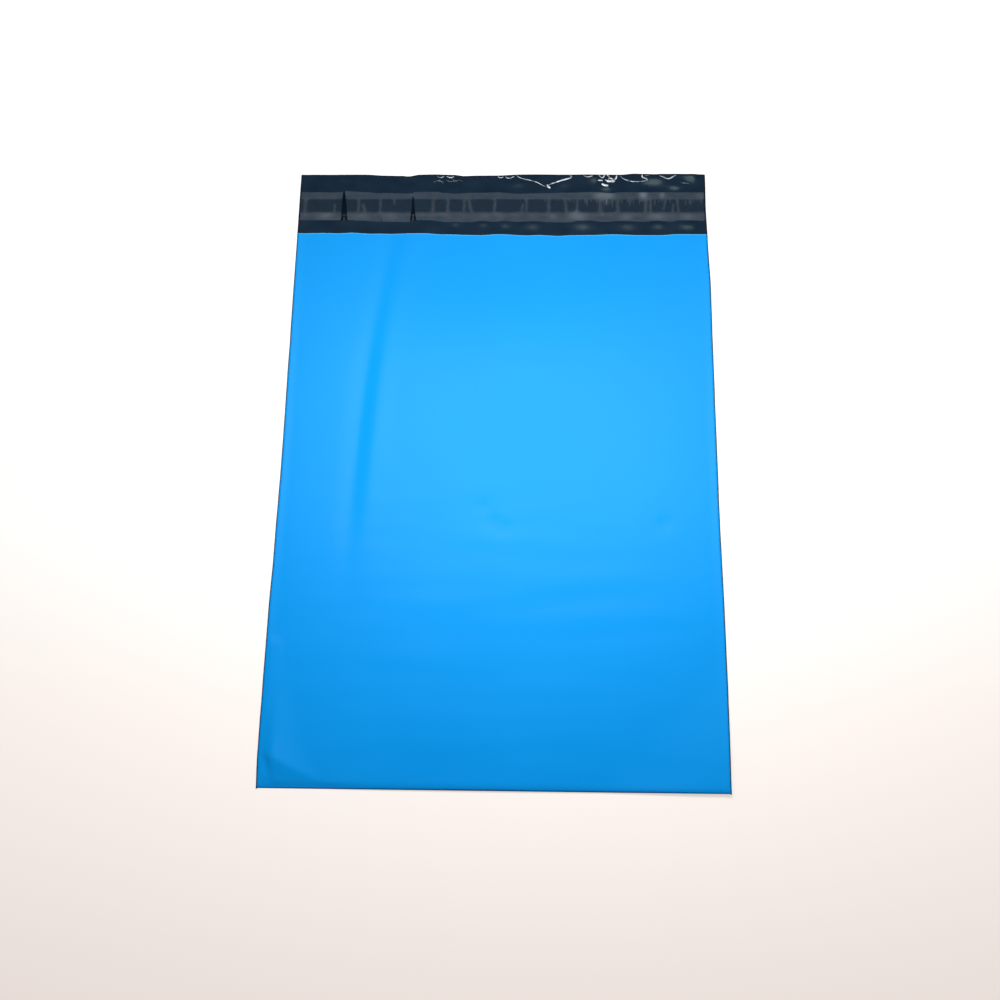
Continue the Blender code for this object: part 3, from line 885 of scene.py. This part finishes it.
# %% Liner mesh with its tears
TEARS = [
    dict(x=-98.6, lean=-0.05, tongue=[(0.7, 342), (0.3, 345.2)],
         side=[(0.45, 363.9), (1.1, 358), (1.6, 352), (1.75, 347), (2.1, 342)]),
    dict(x=-74.9, lean=0, tongue=[], side=[(0.12, 345), (0.3, 341)]),
    dict(x=-55.3, lean=-0.03, tongue=[(0.75, 342), (0.2, 347)],
         side=[(0.3, 359.8), (0.8, 355), (1.0, 351), (1.9, 342)]),
]
TEAR_PIVOT = 352
LINER_LOW_EDGE = [
    (-127, 343), (-100.3, 342.9), (-99, 342.9), (-98, 343), (-95.9, 343), (-85.8, 342.5), (-74.8, 341.8),
    (-57.3, 341.8), (-55.6, 341.8), (-55, 343), (-44, 343), (-39.3, 342.2), (-34.5, 341.7), (-20.2, 341.6),
    (-13.3, 342.4), (-5.2, 341.9), (2, 342.4), (10, 341.9), (21.5, 342.2), (30.5, 341.6), (42.4, 341.5),
    (47.2, 342.3), (55, 342.6), (63.7, 341.9), (74, 342.4), (88.3, 341.9), (96.4, 342.6), (104.9, 341.9),
    (109.6, 342.9), (127, 342.7),
]
LINER_TOP_EDGE = [
    (-127, 363.1), (-100.4, 363), (-99, 363), (-98, 363.8), (-97, 363.8), (-84, 363), (-77, 362.2),
    (-70, 362.4), (-57.8, 362.1), (-55.8, 362.1), (-55, 362.8), (-51.2, 363.3), (-39.9, 363.3),
    (-37.3, 362.6), (-29.9, 362), (-19, 362.6), (-11.3, 362.7), (-3, 363), (9.9, 362), (27.2, 362.4),
    (42.5, 362.7), (56, 363.2), (69.7, 362.4), (73.5, 363.1), (88.8, 363), (103, 363), (127, 362.9),
]


def tear_middle(tear, run):
    """A leaning tear turns about one point of its middle line."""
    return tear["x"] + tear["lean"] * (run - TEAR_PIVOT)


def tear_outline(tear):
    """The whole outline: the right half, then its mirror image, leaning with the tear."""
    half = tear["side"] + tear["tongue"]
    whole = half + [(-across, run) for across, run in reversed(half)]
    return [(tear_middle(tear, run) + across, run) for across, run in whole]


def inside(x, run, outline):
    """Counts how often a ray to the right crosses the outline."""
    crossings = 0
    for (x0, r0), (x1, r1) in zip(outline, outline[1:] + outline[:1]):
        if (r0 > run) != (r1 > run) and x < x0 + (x1 - x0) * (run - r0) / (r1 - r0):
            crossings += 1
    return crossings % 2 == 1


def cut_tear(bm, outline):
    """Cuts the faces near the outline along each of its sides, and takes out those inside it."""
    for (x0, r0), (x1, r1) in zip(outline, outline[1:] + outline[:1]):
        across_side = (r1 - r0, x0 - x1, 0)
        near = [face for face in bm.faces if abs(face.calc_center_median().x - outline[0][0]) < 5]
        edges = list({edge for face in near for edge in face.edges})
        corners = list({corner for face in near for corner in face.verts})
        bmesh.ops.bisect_plane(
            bm, geom=near + edges + corners, plane_co=(x0, r0, 0), plane_no=across_side, dist=0.002
        )
    gone = [face for face in bm.faces if inside(*face.calc_center_median().xy, outline)]
    bmesh.ops.delete(bm, geom=gone, context="FACES")
    return len(gone)


liner_bm = bmesh.new()
bmesh.ops.create_grid(liner_bm, x_segments=540, y_segments=26, size=0.5)
for vertex in liner_bm.verts:
    x = 2 * STRIP_HALF * vertex.co.x
    low, top = along(LINER_LOW_EDGE, x), along(LINER_TOP_EDGE, x)
    vertex.co = (x, low + (vertex.co.y + 0.5) * (top - low), 0)
for tear in TEARS:
    print("tear at", tear["x"], "took out", cut_tear(liner_bm, tear_outline(tear)), "faces")

# %% [markdown]
# A thin black sheet in the adhesive's material fills each tear, also above and below the band. Across the
# band it is the bare adhesive. Above and below it, it is painted shade, for the deep gap of the tear. It
# could be cut from the same outline as the tear. A small grid whose sides follow the long sides of the tear
# is simpler, because the tongue and the liner's edges hide the rest.

# %% Black fill in the tears: bare adhesive, and painted shade
# The black fill is bare adhesive across the band, and painted shade in the tear's gap above and below it.
TEAR_FILL_THICKNESS, TEAR_FILL_CLEARANCE, TEAR_FILL_OVERLAP = 0.03, 0.05, 0.1
TEAR_FILL_LOW, TEAR_FILL_BELOW_TOP = 342.3, 0.3
STEP_LENGTH = 2.5


def stepped(clearance, run):
    """Height over the lip's underside: on the film beside the adhesive, and up on the adhesive across it."""
    up = ease((run - ADHESIVE_LOW) / STEP_LENGTH + 1)
    down = ease((ADHESIVE_TOP - run) / STEP_LENGTH + 1)
    return FILM_GAUGE + clearance + (ADHESIVE_THICKNESS + ADHESIVE_CLEARANCE) * up * down


tear_fill_bm = bmesh.new()
for tear in TEARS:
    if not tear["tongue"]:
        continue
    half_widths = [(run, across) for across, run in reversed(tear["side"])]
    tear_fill_top = half_widths[-1][0] - TEAR_FILL_BELOW_TOP
    made = bmesh.ops.create_grid(tear_fill_bm, x_segments=6, y_segments=40, size=0.5)
    for vertex in made["verts"]:
        run = TEAR_FILL_LOW + (vertex.co.y + 0.5) * (tear_fill_top - TEAR_FILL_LOW)
        x = tear_middle(tear, run) + vertex.co.x * 2 * (along(half_widths, run) + TEAR_FILL_OVERLAP)
        vertex.co = (x, run, lip_height(x, run) + stepped(TEAR_FILL_CLEARANCE, run))
tear_fill = finished("tear_adhesive_and_shade", tear_fill_bm, [glue])
thicken(tear_fill, TEAR_FILL_THICKNESS)

# %% [markdown]
# ## Laying the liner on the lip
#
# So far the liner is a flat sheet with its tears cut out. Now each point gets the haze of its place, and the
# sheet is laid on the lip. It rests on the film along its edges and steps up onto the adhesive, and the lips
# of each tear curl up. It could be dropped with a cloth simulation, but a strip that sticks down flat has
# nowhere to fall, and a height in code puts the curl where it is wanted.

# %% Raise the liner onto the lip
LINER_THICKNESS, LINER_CLEARANCE = 0.05, 0.06
TEAR_LIFT, TEAR_LIFT_REACH = 0.35, 2.6
HAZE_LIFT, HAZE_LIFT_MOST = 0.05, 1.5


def tear_lift(x, run):
    """The lips of a tear curl up off the adhesive."""
    away = [(x - tear_middle(tear, run)) / TEAR_LIFT_REACH for tear in TEARS]
    return TEAR_LIFT * sum(math.exp(-(share**2)) for share in away)


def liner_height(x, run, haze_here):
    """The liner's upper face, over the lip as it lies."""
    resting = stepped(LINER_CLEARANCE, run) + LINER_THICKNESS
    air_under = HAZE_LIFT * min(haze_here, HAZE_LIFT_MOST)
    return lip_height(x, run) + resting + air_under + tear_lift(x, run)


haze_layer = liner_bm.verts.layers.float.new("haze")
for vertex in liner_bm.verts:
    here = haze(vertex.co.x, vertex.co.y)
    vertex[haze_layer] = here
    vertex.co.z = liner_height(vertex.co.x, vertex.co.y, here)
print("liner:", len(liner_bm.verts), "vertices")

# %% [markdown]
# ## Liner material
#
# Clear film could be made as glass, but two glass faces a twentieth of a millimetre apart cost much light
# and many samples, and what shows here is only how cloudy the film is. So the haze is read from the mesh,
# and sets how much of the grey film covers what is behind it, through Alpha. Where nothing scatters, the
# little that the film does show is bluer.

# %% Liner material and object
clear, tree, shader = principled("liner_film", roughness=0.28, specular=0.2)
haze_here = mesh_value(tree, "haze")
cover = tree.nodes.new("ShaderNodeMapRange")
cover.inputs["To Min"].default_value = 0.052
cover.inputs["To Max"].default_value = 0.14
cover.clamp = False
tree.links.new(haze_here, cover.inputs["Value"])
tree.links.new(cover.outputs[0], shader.inputs["Alpha"])
shade = ramp_node(tree, [(0, (0.13, 0.225, 0.36)), (1, (0.162, 0.205, 0.252))])
tree.links.new(haze_here, shade.inputs[0])
tree.links.new(shade.outputs["Color"], shader.inputs["Base Color"])
bumped(tree, shader, object_noise(tree, 600, (1, 0.6, 1), 3), 0.000006)
liner = finished("liner_sheet", liner_bm, [clear])
thicken(liner, LINER_THICKNESS)

# %% [markdown]
# ## Tie the pieces to the model
#
# All of it is one body, so every piece rides on the root. Three of the pieces take the place of the three
# solids, which are hidden.

# %% Ride and replace
for piece in [film_web, adhesive, tear_fill, liner, creases] + beads:
    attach(piece, "root")
    print(piece.name, "rides on the root")
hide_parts("film_bag")
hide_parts("adhesive_strip")
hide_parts("release_liner")
